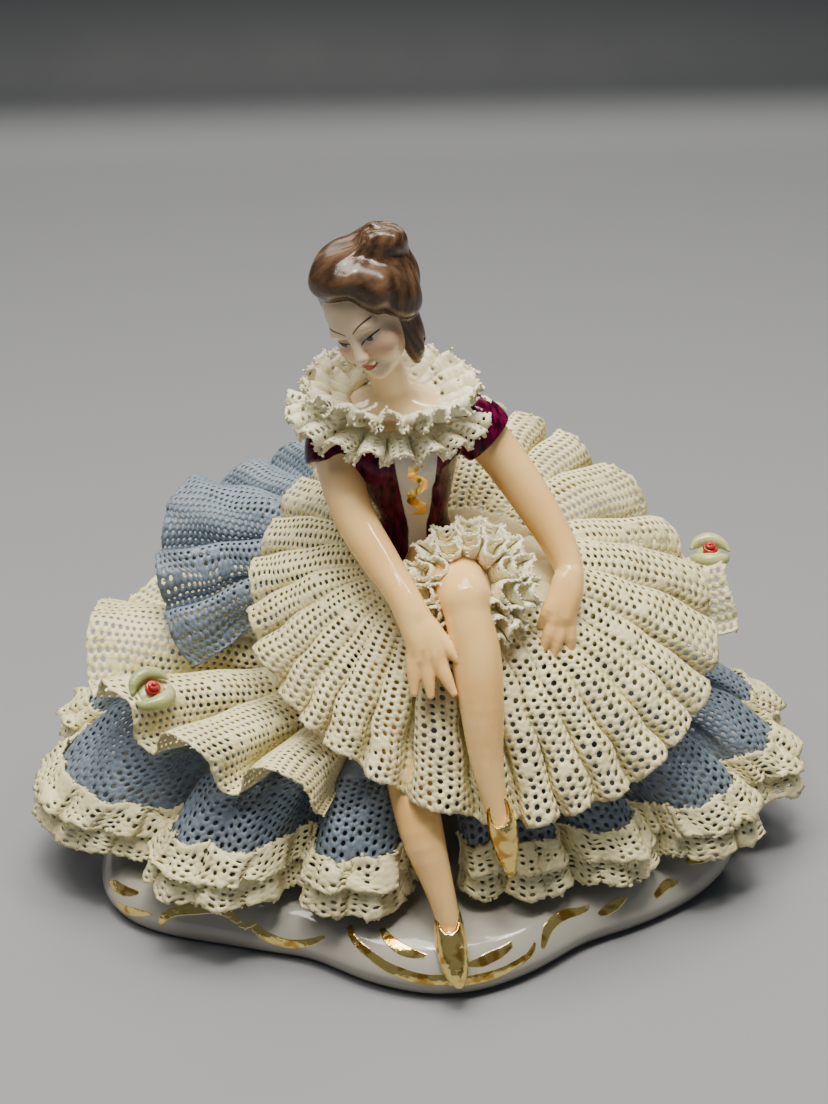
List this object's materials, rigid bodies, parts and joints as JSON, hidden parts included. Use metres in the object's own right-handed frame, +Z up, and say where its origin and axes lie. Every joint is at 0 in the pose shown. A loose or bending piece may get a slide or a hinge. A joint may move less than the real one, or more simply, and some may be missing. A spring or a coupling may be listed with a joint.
{
  "type": "lace figurine",
  "caption": "Porcelain figurine of a seated figure in layered lace skirts, one leg crossed, on a scrolled glazed base with gilding.",
  "frame": {"origin": "middle of the base's underside, in the plane it rests on", "axes": "+Z up, -Y towards the front where the feet are, +X to the figure's left"},
  "size_m": [0.1761, 0.1121, 0.1481],
  "materials": {
    "gilded_porcelain": "glossy white glaze with mirror gold scroll strokes",
    "painted_porcelain": "glossy glaze over painted hair, face, bodice and gold shoes",
    "blue_lace": "matt powder blue porcelain lace",
    "cream_lace": "satin cream porcelain lace with yellowed edges",
    "rose_porcelain": "glossy olive leaves with a red bud"
  },
  "bodies": {
    "root": {"base": "gilded_porcelain", "figure": "painted_porcelain", "blue_skirt": "blue_lace", "blue_bustle": "blue_lace", "cream_overskirt": "cream_lace", "cream_underskirt": "cream_lace", "hem_frill_upper": "cream_lace", "hem_frill_lower": "cream_lace", "collar_frill_upper": "cream_lace", "collar_frill_lower": "cream_lace", "petticoat_frill_1": "cream_lace", "petticoat_frill_2": "cream_lace", "petticoat_frill_3": "cream_lace", "rose_left": "rose_porcelain", "rose_right": "rose_porcelain"}
  },
  "joints": []
}
